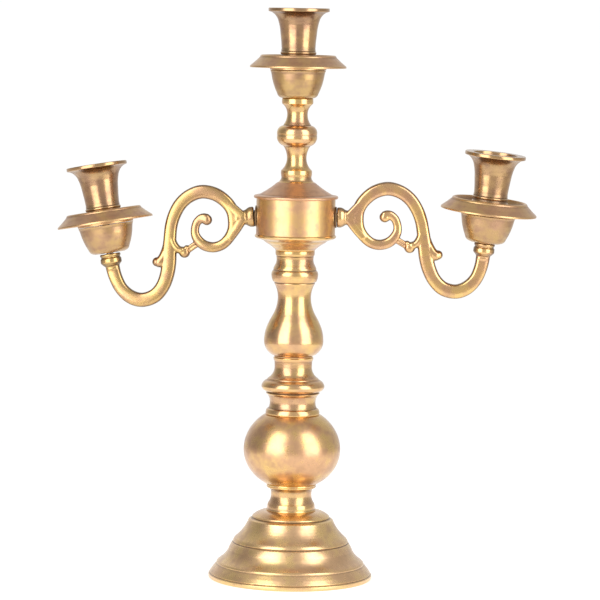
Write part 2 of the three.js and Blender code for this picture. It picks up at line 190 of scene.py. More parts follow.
def softened(points, closed):
    """Rounds each sharp corner, as polishing does. The points on the axis stay as they are."""
    out = []
    count = len(points)
    for i, here in enumerate(points):
        if not closed and i in (0, count - 1):
            out.append(here)
            continue
        before, after = points[i - 1], points[(i + 1) % count]
        turn = abs(turn_at(before, here, after))
        if turn < SHARP_CORNER:
            out.append(here)
            continue
        back, ahead = math.dist(here, before), math.dist(here, after)
        reach = min(EDGE_RADIUS * math.tan(turn / 2), CORNER_SHARE * min(back, ahead))
        start = [h + (b - h) * reach / back for h, b in zip(here, before)]
        end = [h + (a - h) * reach / ahead for h, a in zip(here, after)]
        for t in (0, 1 / 3, 2 / 3, 1):
            weights = ((1 - t) ** 2, 2 * t * (1 - t), t * t)
            out.append(tuple(sum(w * p[k] for w, p in zip(weights, (start, here, end))) for k in (0, 1)))
    return out


def stepped(points, closed):
    """Adds points near the ends of long stretches, so that wear and the grime with painted shade can fade
    away from corners.
    """
    out = []
    pairs = list(zip(points, points[1:] + points[:1]))
    for start, end in pairs if closed else pairs[:-1]:
        out.append(start)
        length = math.dist(start, end)
        stops = [d for d in NEAR_ENDS if ROOM_FOR_ENDS * d < length]
        for along in stops + [length - d for d in reversed(stops)]:
            out.append(tuple(s + (e - s) * along / length for s, e in zip(start, end)))
    return out if closed else out + [points[-1]]


def marks_along(points, closed):
    """For each outline point: millimetres along the outline, wear on convex corners, and grime with painted
    shade in hollows.
    """
    p = np.array(points)
    steps = np.linalg.norm(np.roll(p, -1, axis=0) - p, axis=1)
    along = np.concatenate([[0], np.cumsum(steps)[:-1]])
    length = along[-1] + steps[-1]
    turns = np.array([turn_at(points[i - 1], q, points[(i + 1) % len(p)]) for i, q in enumerate(points)])
    if not closed:
        turns[[0, -1]] = 0
    apart = np.abs(along[:, None] - along[None, :])
    if closed:
        apart = np.minimum(apart, length - apart)
    convex = (np.exp(-((apart / CORNER_REACH) ** 2)) * turns[None, :]).sum(1)
    return along, np.clip(convex / FULL_WEAR, 0, 1), np.clip(-convex / FULL_GRIME_AND_SHADE, 0, 1)


# ---- meshes ---------------------------------------------------------------------------------------


def set_marks(mesh, along, wear, grime_and_shade):
    """Stores the marks with the mesh, where its material reads them."""
    for name, values in (("along", along), ("wear", wear), ("grime_and_shade", grime_and_shade)):
        attribute = mesh.attributes.get(name) or mesh.attributes.new(name, "FLOAT", "POINT")
        attribute.data.foreach_set("value", np.asarray(values, np.float32))


def new_object(name, vertices, faces):
    """An object whose vertices are given in millimetres."""
    mesh = bpy.data.meshes.new(name)
    mesh.from_pydata((np.asarray(vertices) * MM).tolist(), [], faces)
    obj = bpy.data.objects.new(name, mesh)
    bpy.context.scene.collection.objects.link(obj)
    return obj


def smooth_shaded(obj, sharp=SHADE_SHARP):
    obj.data.shade_smooth()
    obj.data.set_sharp_from_angle(angle=sharp)
    return obj


def welded(obj, split=False):
    """Merges the vertices that meet, such as those of a pole on the axis. May split its faces before."""
    bm = bmesh.new()
    bm.from_mesh(obj.data)
    if split:
        bmesh.ops.triangulate(bm, faces=bm.faces)
    bmesh.ops.remove_doubles(bm, verts=bm.verts, dist=WELD * MM)
    bmesh.ops.dissolve_degenerate(bm, edges=bm.edges, dist=WELD * MM)
    bm.to_mesh(obj.data)
    bm.free()
    return obj


def turned(name, points, sides=COLUMN_SIDES):
    """A turned piece. Its outline is a closed loop round a hole, or starts and ends on the axis."""
    closed = points[0][0] > 0
    profile = stepped(softened(outline(points), closed), closed)
    along, wear, grime_and_shade = marks_along(profile, closed)
    p = np.array(profile)
    angles = np.arange(sides) * 2 * math.pi / sides
    x = p[:, :1] * np.cos(angles)
    y = p[:, :1] * np.sin(angles)
    z = np.repeat(p[:, 1:], sides, axis=1)
    vertices = np.stack([x, y, z], axis=-1).reshape(-1, 3)
    faces = []
    for i in range(len(p) if closed else len(p) - 1):
        low, high = i * sides, (i + 1) % len(p) * sides
        for j in range(sides):
            k = (j + 1) % sides
            faces.append((low + j, low + k, high + k, high + j))
    obj = new_object(name, vertices, faces)
    set_marks(obj.data, *(np.repeat(v, sides) for v in (along, wear, grime_and_shade)))
    return smooth_shaded(obj if closed else welded(obj))


def applied(obj):
    """Replaces the object's mesh by what its modifiers make of it."""
    depsgraph = bpy.context.evaluated_depsgraph_get()
    mesh = bpy.data.meshes.new_from_object(obj.evaluated_get(depsgraph), depsgraph=depsgraph)
    obj.modifiers.clear()
    obj.data = mesh
    return obj


def combined(obj, operation, tools):
    """Cuts the tools from the object, or joins them to it, and removes them."""
    for tool in tools:
        modifier = obj.modifiers.new(operation, "BOOLEAN")
        modifier.operation = operation
        modifier.solver = "MANIFOLD"
        modifier.object = tool
    applied(obj)
    for tool in tools:
        bpy.data.objects.remove(tool)
    return welded(obj, split=True)


def placed(obj, matrix):
    """Writes the matrix, whose translation is in millimetres, into the object's mesh."""
    in_metres = matrix.copy()
    in_metres.translation *= MM
    obj.data.transform(in_metres)
    return obj


def cylinder(radius, start, end, sides=SMALL_SIDES):
    """A cylinder along Z that only serves to cut or join."""
    return turned("cutter", [(0, start), (radius, start), (radius, end), (0, end)], sides)


def lathe_marks(obj):
    """Marks for a turned piece that was cut: its lathe lines run with height, with no wear and no grime with
    painted shade.
    """
    heights = np.array([v.co.z for v in obj.data.vertices]) / MM
    nothing = np.zeros(len(heights))
    set_marks(obj.data, heights, nothing, nothing)
    return obj


def polar(name, radius_at, levels, sides, hole):
    """A ring or nut along Z: radius_at(level, angle) outside, and a plain hole."""
    angles = np.arange(sides) * 2 * math.pi / sides
    rings = [(z, [radius_at(z, a) for a in angles]) for z in levels]
    rings += [(levels[-1], [hole] * sides), (levels[0], [hole] * sides)]
    vertices = [(r * math.cos(a), r * math.sin(a), z) for z, radii in rings for r, a in zip(radii, angles)]
    faces = []
    for i in range(len(rings)):
        low, high = i * sides, (i + 1) % len(rings) * sides
        for j in range(sides):
            k = (j + 1) % sides
            faces.append((low + j, low + k, high + k, high + j))
    return smooth_shaded(lathe_marks(new_object(name, vertices, faces)))


def thread_radius(radius, pitch, depth):
    """The radius of a screw thread, with its crest and root cut flat, at a height and an angle."""

    def at(z, angle):
        turn = (z / pitch - angle / (2 * math.pi)) % 1
        return radius - depth * min(1, max(0, FLANK_SLOPE * abs(2 * turn - 1) - CREST))

    return at


def hexagon_radius(corner_radius, bottom, top):
    """The radius of a hexagon nut whose corners are chamfered at both ends."""
    flat = corner_radius * math.cos(math.pi / 6)

    def at(z, angle):
        hexagon = flat / math.cos((angle + math.pi / 6) % (math.pi / 3) - math.pi / 6)
        from_end = min(z - bottom, top - z)
        return min(hexagon, flat - CHAMFER_INSET + CHAMFER_SLOPE * from_end)

    return at


# ---- materials ------------------------------------------------------------------------------------


class Shader:
    """A material being built, with short calls for the nodes that it needs."""

    def __init__(self, name):
        self.material = bpy.data.materials.new(name)
        self.material.use_nodes = True
        self.tree = self.material.node_tree
        self.surface = self.tree.nodes["Principled BSDF"]
        self.place = self.add("TexCoord").outputs["Object"]

    def feed(self, socket, value):
        if isinstance(value, bpy.types.NodeSocket):
            self.tree.links.new(value, socket)
        else:
            socket.default_value = value

    def add(self, kind, settings=None, **inputs):
        node = self.tree.nodes.new("ShaderNode" + kind)
        for key, value in (settings or {}).items():
            setattr(node, key, value)
        for key, value in inputs.items():
            self.feed(node.inputs[key.replace("_", " ")], value)
        return node

    def math(self, operation, a, b=0.0, clamp=False):
        node = self.add("Math", {"operation": operation, "use_clamp": clamp})
        self.feed(node.inputs[0], a)
        self.feed(node.inputs[1], b)
        return node.outputs[0]

    def mark(self, name):
        """One of the marks that the mesh carries."""
        return self.add("Attribute", {"attribute_name": name}).outputs["Fac"]

    def noise(self, size_mm, detail=3.0, roughness=0.55):
        """Noise whose blotches are about this many millimetres across."""
        inputs = {"Scale": 1 / (size_mm * MM), "Detail": detail, "Roughness": roughness}
        return self.add("TexNoise", Vector=self.place, **inputs).outputs[0]

    def ramp(self, value, low, high):
        """0 below low, 1 above high, with a smooth step between."""
        settings = {"interpolation_type": "SMOOTHSTEP"}
        return self.add("MapRange", settings, Value=value, From_Min=low, From_Max=high).outputs[0]

    def mix(self, a, b, factor):
        node = self.add("Mix", {"data_type": "RGBA"})
        self.feed(node.inputs[0], factor)
        self.feed(node.inputs[6], a)
        self.feed(node.inputs[7], b)
        return node.outputs[2]

    def bump(self, height, depth_mm, normal=None):
        node = self.add("Bump", Height=height, Distance=depth_mm * MM)
        if normal is not None:
            self.feed(node.inputs["Normal"], normal)
        return node.outputs[0]


# The blotches of the brass, in millimetres.
BROAD_BLOTCH = 26
MIDDLE_BLOTCH = 6.5
FINE_BLOTCH = 1.1
PIT_SPACING = 3.2
# Grime with painted shade, and smudges, as shades of the patina, and worn edges as a shade of the gold.
PIT_GRIME_AND_SHADE_DARKNESS = 0.16
SMUDGE_SHADE = 0.6
WORN_SHADE = 1.12
# The values between which each kind of patch comes in, and how strongly it then colours the metal.
PATINA_RANGE = (0.36, 0.64)
SMUDGE_RANGE = (0.42, 0.7)
PIT_RANGE = (0.11, 0.05)
PITTED_RANGE = (0.46, 0.6)
GRIME_AND_SHADE_RANGE = (0.15, 0.5)
WEAR_RANGE = (0.3, 0.6)
SMUDGE_STRENGTH = 0.35
PIT_STRENGTH = 0.55
GRIME_AND_SHADE_STRENGTH = 0.85
WEAR_STRENGTH = 0.7
# What the blotches, the grime and the wear do to the roughness.
BLOTCHY_ROUGHNESS = 0.22
FINE_ROUGHNESS = 0.08
GRIMY_ROUGHNESS = 0.22
WORN_ROUGHNESS = 0.06
# The depth of the pits in millimetres, and what the fine unevenness is to it.
PIT_DEPTH = 0.012
FINE_DEPTH = 0.15
# How fast the lathe lines change round the piece, by the metre, and along its outline, by the millimetre.
LINES_AROUND = 24.0
LINES_ALONG = 1.7
CAST_BLOTCH = 9
LACQUER = 0.45
LACQUER_ROUGHNESS = 0.28


def shade(colour, factor):
    """The colour made darker, or brighter up to white."""
    return tuple(min(1.0, factor * c) for c in colour[:3]) + (1,)


def brass(name, gold, patina, roughness, patina_share=0.5, lines=0.0, cast=0.0):
    """Aged brass: golden metal with a patina in patches, dark grime together with painted shade where the
    mesh marks it (in creases, and on a casting's sideways edges), brighter worn edges, small pits, and
    either fine lathe lines or the soft unevenness of a casting. lines and cast are depths in millimetres."""
    s = Shader(name)
    broad = s.noise(BROAD_BLOTCH)
    middle = s.noise(MIDDLE_BLOTCH, detail=4)
    fine = s.noise(FINE_BLOTCH, detail=2)
    dark = shade(patina, PIT_GRIME_AND_SHADE_DARKNESS)

    spread = s.math("ADD", s.math("MULTIPLY", broad, 0.7), s.math("MULTIPLY", middle, 0.3))
    patches = s.math("MULTIPLY", s.ramp(spread, *PATINA_RANGE), patina_share * 2, True)
    colour = s.mix(gold, patina, patches)
    smudge = s.math("MULTIPLY", s.ramp(middle, *SMUDGE_RANGE), SMUDGE_STRENGTH)
    colour = s.mix(colour, shade(patina, SMUDGE_SHADE), smudge)

    cells = s.add("TexVoronoi", Vector=s.place, Scale=1 / (PIT_SPACING * MM)).outputs["Distance"]
    pit = s.math("MULTIPLY", s.ramp(cells, *PIT_RANGE), s.ramp(broad, *PITTED_RANGE))
    colour = s.mix(colour, dark, s.math("MULTIPLY", pit, PIT_STRENGTH))

    # Tarnish in the hollows, darkened further as painted shade.
    grime_and_shade = s.math("MULTIPLY", s.mark("grime_and_shade"), s.ramp(fine, *GRIME_AND_SHADE_RANGE), True)
    colour = s.mix(colour, dark, s.math("MULTIPLY", grime_and_shade, GRIME_AND_SHADE_STRENGTH))
    wear = s.math("MULTIPLY", s.mark("wear"), s.ramp(middle, *WEAR_RANGE), True)
    colour = s.mix(colour, shade(gold, WORN_SHADE), s.math("MULTIPLY", wear, WEAR_STRENGTH))
    s.feed(s.surface.inputs["Base Color"], colour)

    blotchy = s.math("MULTIPLY", s.math("SUBTRACT", middle, 0.5), BLOTCHY_ROUGHNESS)
    speckled = s.math("MULTIPLY", s.math("SUBTRACT", fine, 0.5), FINE_ROUGHNESS)
    rough = s.math("ADD", blotchy, roughness)
    rough = s.math("ADD", rough, s.math("MULTIPLY", grime_and_shade, GRIMY_ROUGHNESS))
    rough = s.math("SUBTRACT", rough, s.math("MULTIPLY", wear, WORN_ROUGHNESS))
    s.feed(s.surface.inputs["Roughness"], s.math("ADD", rough, speckled, True))

    uneven = s.math("SUBTRACT", s.math("MULTIPLY", fine, FINE_DEPTH), pit)
    normal = s.bump(uneven, PIT_DEPTH)
    if lines:
        around = s.add("VectorMath", {"operation": "SCALE"}, Vector=s.place, Scale=LINES_AROUND).outputs[0]
        along = s.math("MULTIPLY", s.mark("along"), LINES_ALONG)
        inputs = {"Vector": around, "W": along, "Scale": 1.0, "Detail": 3.0, "Roughness": 0.7}
        rings = s.add("TexNoise", {"noise_dimensions": "4D"}, **inputs)
        normal = s.bump(rings.outputs[0], lines, normal)
    if cast:
        normal = s.bump(s.noise(CAST_BLOTCH, detail=1.5, roughness=0.4), cast, normal)
    s.feed(s.surface.inputs["Normal"], normal)
    s.surface.inputs["Metallic"].default_value = 1.0
    s.surface.inputs["Coat Weight"].default_value = LACQUER
    s.surface.inputs["Coat Roughness"].default_value = LACQUER_ROUGHNESS
    return s.material


PLATING = (0.42, 0.42, 0.41, 1)
DULL_PLATING = (0.30, 0.27, 0.23, 1)
RUST = (0.12, 0.07, 0.04, 1)


def steel(name):
    """Dull plated steel with brown spots."""
    s = Shader(name)
    patches = s.noise(4, detail=4)
    specks = s.noise(0.7, detail=2)
    colour = s.mix(PLATING, DULL_PLATING, s.ramp(patches, 0.4, 0.65))
    colour = s.mix(colour, RUST, s.math("MULTIPLY", s.ramp(specks, 0.6, 0.75), 0.5))
    s.feed(s.surface.inputs["Base Color"], colour)
    s.feed(s.surface.inputs["Roughness"], s.math("ADD", s.math("MULTIPLY", patches, 0.3), 0.25))
    s.feed(s.surface.inputs["Normal"], s.bump(specks, 0.01))
    s.surface.inputs["Metallic"].default_value = 1.0
    return s.material


GOLD = (0.74, 0.486, 0.182, 1)
DEEP_GOLD = (0.69, 0.450, 0.175, 1)
TAN = (0.645, 0.374, 0.203, 1)
COPPER = (0.60, 0.34, 0.195, 1)
FOOT_GOLD = (0.83, 0.565, 0.240, 1)
FOOT_TAN = (0.74, 0.465, 0.250, 1)
# Colours of the left arm's cast brass, painted darker than the right arm's as shade.
SHADED_CAST_GOLD = (0.58, 0.380, 0.133, 1)
SHADED_CAST_TAN = (0.51, 0.298, 0.150, 1)
PAN_GOLD = (0.61, 0.385, 0.165, 1)
PAN_COPPER = (0.56, 0.320, 0.175, 1)
BOWL_GOLD = (0.51, 0.330, 0.130, 1)
BOWL_COPPER = (0.45, 0.260, 0.150, 1)
SOCKET_GOLD = (0.49, 0.310, 0.138, 1)
SOCKET_COPPER = (0.38, 0.220, 0.122, 1)
# Near-black for the arm studs and washers: their own dark metal together with painted shade of the gap
# between flange and drum.
DARK_AND_GAP_SHADE = (0.16, 0.095, 0.045, 1)

POLISHED = brass("polished_brass", GOLD, TAN, roughness=0.23, lines=0.006)
BALL_BRASS = brass("ball_brass", GOLD, TAN, roughness=0.30, patina_share=0.6, lines=0.004)
DRUM_BRASS = brass("drum_brass", DEEP_GOLD, TAN, roughness=0.37, patina_share=0.6, lines=0.012)
FOOT_BRASS = brass("foot_brass", FOOT_GOLD, FOOT_TAN, roughness=0.28, patina_share=0.6, lines=0.005)
BOWL_BRASS = brass("bowl_brass", BOWL_GOLD, BOWL_COPPER, roughness=0.32, lines=0.01)
CAP_BRASS = brass("cap_brass", TAN, COPPER, roughness=0.42, patina_share=0.6, lines=0.008)
PAN_BRASS = brass("pan_brass", PAN_GOLD, PAN_COPPER, roughness=0.38, patina_share=0.6, lines=0.008)
SOCKET_BRASS = brass(
    "socket_brass", SOCKET_GOLD, SOCKET_COPPER, roughness=0.24, patina_share=0.6, lines=0.008
)
CAST = brass("cast_brass", GOLD, TAN, roughness=0.22, cast=0.05)
SHADED_CAST = brass("shaded_cast_brass", SHADED_CAST_GOLD, SHADED_CAST_TAN, roughness=0.25, cast=0.05)
# The same casting on both sides, with the left arm's brass a darker copy that paints shade on it.
ARM_BRASS = {"left": SHADED_CAST, "right": CAST}
DARK_BRASS_AND_GAP_SHADE = brass("dark_brass_and_gap_shade", DARK_AND_GAP_SHADE, DARK_AND_GAP_SHADE, roughness=0.45)
STEEL = steel("plated_steel")


# ---- the column -----------------------------------------------------------------------------------


def ball_outline(radius, middle, above, below, bottom, top, wall):
    """A flattened ball of two half ellipses, cut at its poles, hollow, with a hole for the rod."""

    def shell(inset, low, high):
        start = math.asin((low - middle) / (below - inset))
        end = math.asin((high - middle) / (above - inset))
        steps = 40
        angles = [start + (end - start) * i / steps for i in range(steps + 1)]
        halves = [below if a < 0 else above for a in angles]
        girth = radius - inset
        return [(girth * math.cos(a), middle + (h - inset) * math.sin(a)) for a, h in zip(angles, halves)]

    inner_low, inner_high = (ROD_HOLE_R, bottom + wall), (ROD_HOLE_R, top - wall)
    inside = shell(wall, inner_low[1], inner_high[1])[::-1]
    return [(ROD_HOLE_R, bottom), *shell(0, bottom, top), (ROD_HOLE_R, top), inner_high, *inside, inner_low]


FOOT = [
    (54.6, 0), (56.6, 0), (57.5, 1.1, 0.25), (57.4, 2.8), (56.4, 3.4), (56.7, 4.0), (52.6, 9.4, 0.1),
    (51.9, 10.1), (51.9, 10.8), (50.6, 12.3, 0.15), (49.3, 13.3), (43.9, 19.6, -0.5), (41.4, 24.6, 0.2),
    (40.2, 25.5), (40.6, 26.2), (38.7, 28.9, 0.2), (38.1, 29.4), (30.0, 40.6, -0.8), (29.0, 41.8, 0.2),
    (26.9, 42.8), (27.2, 43.6), (26.6, 44.4, 0.1), (17.6, FOOT_TOP, 0.8), (ROD_HOLE_R, FOOT_TOP),
    (ROD_HOLE_R, DECK_BOTTOM), (14.5, DECK_BOTTOM), (25.0, 38.2, 0.8), (36.0, 27.2, 0.4), (46.5, 12.8),
]

COLLAR = [
    (ROD_HOLE_R, FOOT_TOP), (17.2, FOOT_TOP), (17.4, 48.5, 0.1), (16.9, 49.3), (16.5, 52.8, 0.1),
    (14.3, 58.8, -0.55), (14.5, 62.2, -0.05), (15.3, 63.5), (16.9, 64.2), (17.45, 65.2, 0.2), (17.2, 65.5),
    (17.5, 65.9), (17.0, 67.3, 0.2), (16.5, COLLAR_TOP), (ROD_HOLE_R, COLLAR_TOP),
]

SPOOL = [
    (ROD_HOLE_R, BALL_TOP), (18.6, BALL_TOP), (18.9, 116.4), (18.2, 119.7, 0.25), (17.0, 120.4),
    (16.0, 124.8, -0.3), (17.4, 129.4, -0.3), (18.9, 131.0), (18.2, 131.7), (19.6, 132.6),
    (22.1, 136.1, 0.7), (18.7, 140.2, 0.7), (18.0, 140.8), (17.8, 141.3), (13.1, 150.4, -1.5),
    (13.3, 153.6, -0.05), (13.55, 153.8), (14.1, 155.8), (13.7, SPOOL_TOP), (ROD_HOLE_R, SPOOL_TOP),
]

VASE = [
    (ROD_HOLE_R, SPOOL_TOP), (13.3, SPOOL_TOP), (13.3, 157.1), (14.9, 157.9), (20.8, 168.2, 1.7),
    (18.5, 179.1, 0.55), (15.5, 185.0, 0.12), (11.6, 197.5, -0.8), (14.2, 208.2, -0.75), (14.1, 208.9),
    (15.1, 209.5), (16.3, 213.6, 0.25), (15.6, 217.0, 0.35), (14.9, 217.5), (14.9, 219.1, 0.1),
    (14.2, 220.6), (12.9, 224.4, -0.25), (13.1, 227.0, -0.1), (12.8, 227.4), (13.5, 227.9),
    (13.75, 231.0, 0.12), (13.4, VASE_TOP), (ROD_HOLE_R, VASE_TOP),
]

HUB_BASE = [
    (ROD_HOLE_R, VASE_TOP), (13.9, VASE_TOP), (14.3, 232.3), (18.2, 235.4), (22.3, 238.2, 0.25),
    (26.6, 239.6, -0.1), (28.3, 240.6, 0.12), (28.5, 241.6), (27.9, SAUCER_TOP),
    (SPIGOT_R, SAUCER_TOP), (SPIGOT_R, SAUCER_TOP + 2), (23.0, SAUCER_TOP + 2),
    (13.5, VASE_TOP + 4), (ROD_HOLE_R, VASE_TOP + 4),
]

HUB_CAP = [
    (23.2, DRUM_TOP - 2), (SPIGOT_R, DRUM_TOP - 2), (SPIGOT_R, DRUM_TOP),
    (28.9, DRUM_TOP), (29.5, 268.9, 0.2), (28.8, 269.7, 0.1), (25.4, 270.3), (24.5, 270.9),
    (13.6, 278.4, -0.35), (12.9, CAP_TOP), (ROD_HOLE_R, CAP_TOP), (ROD_HOLE_R, CAP_TOP - 3),
    (12.4, CAP_TOP - 3.4), (22.2, 269.2, -0.7),
]

UPPER_STEM = [
    (0, ROD_TOP + 1), (ROD_R + THREAD_GAP, ROD_TOP + 1), (ROD_R + THREAD_GAP, CAP_TOP), (12.7, CAP_TOP),
    (10.5, 282.2, -0.4), (10.8, 284.2, -0.05), (10.8, 287.2, 0.1), (10.1, 287.8), (6.8, 295.6, -0.8),
    (9.1, 303.8, -0.6), (9.6, 304.3), (13.9, 312.0, 1.7), (9.7, 318.6, 1.7), (9.3, 319.4),
    (7.2, 325.8, -0.5), (10.2, 333.1, -1.0), (10.9, 333.8), (10.95, 336.9, 0.06), (10.6, STEM_TOP),
    (CUP_SCREW_R + THREAD_GAP, STEM_TOP), (CUP_SCREW_R + THREAD_GAP, STEM_TOP - 9), (0, STEM_TOP - 9),
]


def along_hole(place):
    """From a frame whose Z runs along an arm's hole in the drum, out from the column, to the row frame."""
    heading = Matrix.Rotation(math.radians(place["heading"]), 4, "Z")
    return Matrix.Translation((0, 0, STUD_Z)) @ heading @ Matrix.Rotation(math.pi / 2, 4, "Y")


def hub_drum():
    """Drum with a boss inside each side wall, and a spot-faced hole through each boss."""
    wall = [(DRUM_BORE_R, SAUCER_TOP), (DRUM_R, SAUCER_TOP), (DRUM_R, DRUM_TOP), (DRUM_BORE_R, DRUM_TOP)]
    half_a_side = Matrix.Rotation(math.pi / COLUMN_SIDES, 4, "Z")
    shell = placed(turned("hub_drum_turned", wall), half_a_side)

    def at_each_arm(radius, start, end):
        return [placed(cylinder(radius, start, end), along_hole(place)) for place in ARMS.values()]

    combined(shell, "UNION", at_each_arm(BOSS_R, BOSS_X, (DRUM_BORE_R + DRUM_R) / 2))
    holes = at_each_arm(STUD_HOLE_R, 0, DRUM_R + 2)
    spot_faces = at_each_arm(SPOT_FACE_R, SPOT_FACE_X, DRUM_R + 2)
    combined(shell, "DIFFERENCE", holes + spot_faces)
    return smooth_shaded(lathe_marks(shell))


def build_column():
    poles = {"bottom": COLLAR_TOP, "top": BALL_TOP}
    ball = ball_outline(radius=34, middle=90.9, above=30.4, below=28.2, wall=2.6, **poles)
    pieces = [
        ("foot_bell", turned("foot_bell_turned", FOOT), FOOT_BRASS),
        ("foot_collar", turned("foot_collar_turned", COLLAR), POLISHED),
        ("ball_knop", turned("ball_knop_turned", ball), BALL_BRASS),
        ("stem_spool", turned("stem_spool_turned", SPOOL), POLISHED),
        ("stem_vase", turned("stem_vase_turned", VASE), POLISHED),
        ("hub_base", turned("hub_base_turned", HUB_BASE), POLISHED),
        ("hub_drum", hub_drum(), DRUM_BRASS),
        ("hub_cap", turned("hub_cap_turned", HUB_CAP), CAP_BRASS),
        ("upper_stem", turned("upper_stem_turned", UPPER_STEM), POLISHED),
    ]
    for node, obj, material in pieces:
        finish(obj, node, "stand", material)


def washer_outline(radius, hole, bottom, top):
    return [(hole, bottom), (radius, bottom), (radius, top), (hole, top)]


def build_rod_and_nut():
    """What shows under the foot: the rod's threaded end, its nut and its washer."""
    levels = list(np.arange(ROD_BOTTOM, DECK_BOTTOM, THREAD_PITCH / THREAD_STEPS)) + [ROD_TOP]
    radius = thread_radius(ROD_R, THREAD_PITCH, THREAD_DEPTH)
    rod = polar("tie_rod_threaded", radius, levels, SMALL_SIDES, AXIS_HOLE_R)
    finish(rod, "tie_rod", "stand", STEEL)

    low, high = FOOT_NUT_BOTTOM, FOOT_WASHER_BOTTOM
    levels = [low + d for d in CHAMFER_LEVELS] + [high - d for d in reversed(CHAMFER_LEVELS)]
    radius = hexagon_radius(FOOT_NUT_CORNER_R, low, high)
    nut = polar("foot_nut_chamfered", radius, levels, NUT_SIDES, ROD_R + THREAD_GAP)
    finish(nut, "foot_nut", "stand", STEEL)

    ring = washer_outline(FOOT_WASHER_R, ROD_HOLE_R, FOOT_WASHER_BOTTOM, DECK_BOTTOM)
    finish(turned("foot_washer_turned", ring), "foot_washer", "stand", STEEL)


# ---- a candle cup, in its own frame from the bottom of its bowl -----------------------------------

BOWL = [
    (CUP_HOLE_R, 0), (10.4, 0), (11.0, 0.25), (14.4, 3.4, 0.7), (18.5, 16.6, 0.55), (19.4, 19.3, -0.15),
    (19.2, 19.6), (17.4, 19.6), (12.8, 4.0, -0.5), (CUP_HOLE_R, 2.6),
]

DRIP_PAN = [
    (CUP_HOLE_R, 25.4), (17.9, 25.4), (17.9, 19.9), (19.6, 19.9), (19.7, 24.6), (25.0, 26.9),
    (32.9, 21.3), (33.6, 21.5, 0.1), (33.4, 22.6, 0.1), (26.6, 28.6, -0.15), (25.3, 30.1, 0.3),
    (24.5, 29.7, 0.15), (22.9, 27.5, -0.2), (22.3, 27.2), (CUP_HOLE_R, 27.2),
]

SOCKET = [
    (CUP_HOLE_R, 27.5), (12.9, 27.5), (12.9, 28.4), (12.2, 29.4), (12.0, 30.6), (12.4, 31.0),
    (12.4, 32.2, 0.15), (11.9, 32.6), (12.0, 33.0), (11.8, 34.8), (12.7, 44.8, -0.1), (14.5, 54.4, -0.3),
    (17.6, 58.8, -0.35), (20.6, 60.1, -0.2), (21.3, 60.7, 0.15), (21.3, 62.0), (20.8, 62.7, 0.15),
    (15.6, 62.5), (BORE_R, 54.5, -0.9), (BORE_R, SCREW_SEAT), (CUP_HOLE_R, SCREW_SEAT),
]


def cup_screw(name):
    """Cheese-head screw with a slot."""
    top = SCREW_SEAT + CUP_HEAD_HEIGHT
    edge = 0.5
    points = [
        (0, -CUP_SCREW_DEPTH), (CUP_SCREW_R, -CUP_SCREW_DEPTH), (CUP_SCREW_R, SCREW_SEAT),
        (CUP_HEAD_R, SCREW_SEAT), (CUP_HEAD_R, top - edge), (CUP_HEAD_R - edge, top, 0.1), (0, top),
    ]
    screw = turned(name, points, SMALL_SIDES)
    bpy.ops.mesh.primitive_cube_add(size=MM)
    slot = bpy.context.object
    slot.data.transform(Matrix.Diagonal((*CUP_SLOT, 1)))
    placed(slot, Matrix.Translation((0, 0, top)))
    return smooth_shaded(lathe_marks(combined(screw, "DIFFERENCE", [slot])))


def build_cup(prefix, body, matrix):
    pieces = [
        ("bowl", turned(f"{prefix}_bowl_turned", BOWL, CUP_SIDES), BOWL_BRASS),
        ("drip_pan", turned(f"{prefix}_drip_pan_turned", DRIP_PAN, CUP_SIDES), PAN_BRASS),
        ("candle_socket", turned(f"{prefix}_candle_socket_turned", SOCKET, CUP_SIDES), SOCKET_BRASS),
        ("cup_screw", cup_screw(f"{prefix}_cup_screw_slotted"), STEEL),
    ]
    for part, obj, material in pieces:
        finish(placed(obj, matrix), f"{prefix}_{part}", body, material)


# ---- an arm, along +X from its flange face --------------------------------------------------------

# The scroll's centre line from the eye of the spiral round to the end collar: (x, z, half width).
SCROLL = [
    (33.2, 1.0, 3.7), (35.5, 2.0, 3.4), (38.2, 1.6, 2.9), (41.0, -1.2, 2.7), (42.5, -6.5, 2.7),
    (41.5, -11.4, 3.1), (37.4, -16.4, 3.4), (31.0, -18.7, 3.4), (24.6, -17.6, 3.4), (19.3, -13.5, 3.5),
    (15.7, -7.9, 3.8), (14.2, -1.3, 4.3), (15.0, 5.4, 4.2), (18.6, 11.9, 4.3), (25.7, 18.0, 4.5),
    (34.9, 20.7, 4.6), (43.6, 18.7, 4.5), (50.6, 13.8, 4.4), (55.5, 6.9, 4.3), (58.7, -0.9, 4.2),
    (60.5, -10.0, 4.3), (61.8, -19.1, 4.8), (63.0, -27.5, 4.9), (65.3, -35.7, 4.8), (69.2, -43.2, 4.7),
    (75.4, -48.9, 4.8), (84.0, -50.8, 4.8), (91.8, -48.0, 4.7), (97.9, -41.6, 4.4), (101.4, -32.8, 4.5),
    (102.8, -24.4, 4.7), (103.3, -19.4, 4.7),
]
# The web that spreads from the neck to the scroll, and what fills its fork.
UPPER_WEB = [(8.0, 0.4, 3.2), (14.6, 7.9, 2.8), (21.3, 16.0, 2.6)]
LOWER_WEB = [(8.0, -0.4, 3.2), (13.4, -8.0, 2.8), (18.8, -14.2, 2.6)]
FORK = [(8.0, 0.0, 4.4), (11.0, 0.0, 4.8), (14.0, 0.0, 5.0)]
# Strands that peel off the scroll: one to the bud inside it, one to the leaf curl outside.
BUD_STRAND = [
    (59.0, -6.0, 1.8), (58.9, -10.5, 2.3), (57.6, -14.8, 2.4), (55.2, -17.9, 2.4), (52.4, -19.0, 2.5),
]
CURL_STRAND = [
    (63.6, -13.0, 1.8), (64.8, -18.4, 2.7), (66.9, -23.0, 3.2), (69.2, -25.4, 3.5), (71.0, -25.3, 3.2),
]
